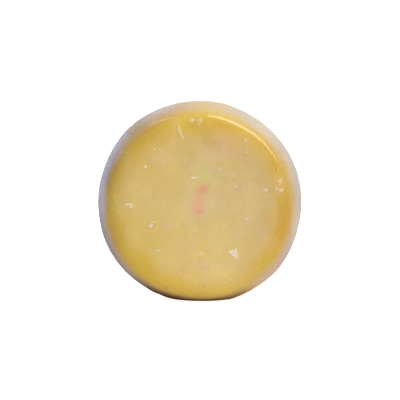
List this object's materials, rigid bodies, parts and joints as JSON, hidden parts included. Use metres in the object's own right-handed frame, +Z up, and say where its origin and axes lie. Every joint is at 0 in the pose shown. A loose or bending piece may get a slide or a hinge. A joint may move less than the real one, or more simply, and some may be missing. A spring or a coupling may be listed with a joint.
{
  "type": "pecorino cheese wheel",
  "caption": "Whole wheel of aged sheep's milk cheese with a golden oiled rind, rounded shoulders and a bulging heel, standing on its edge.",
  "frame": {"origin": "on the floor under the middle of the wheel, in the middle of the small flat spot it stands on", "axes": "+Z up, the wheel's round axis along Y, its front face towards -Y, +X to the right seen from the front"},
  "size_m": [0.2, 0.084, 0.1948],
  "materials": {
    "rind": "golden oiled cheese rind, satin on the faces, with a paler, drier heel",
    "flake": "dried, whitish flakes of the rind's coating"
  },
  "bodies": {
    "root": {"pecorino_wheel": "rind"}
  },
  "joints": []
}
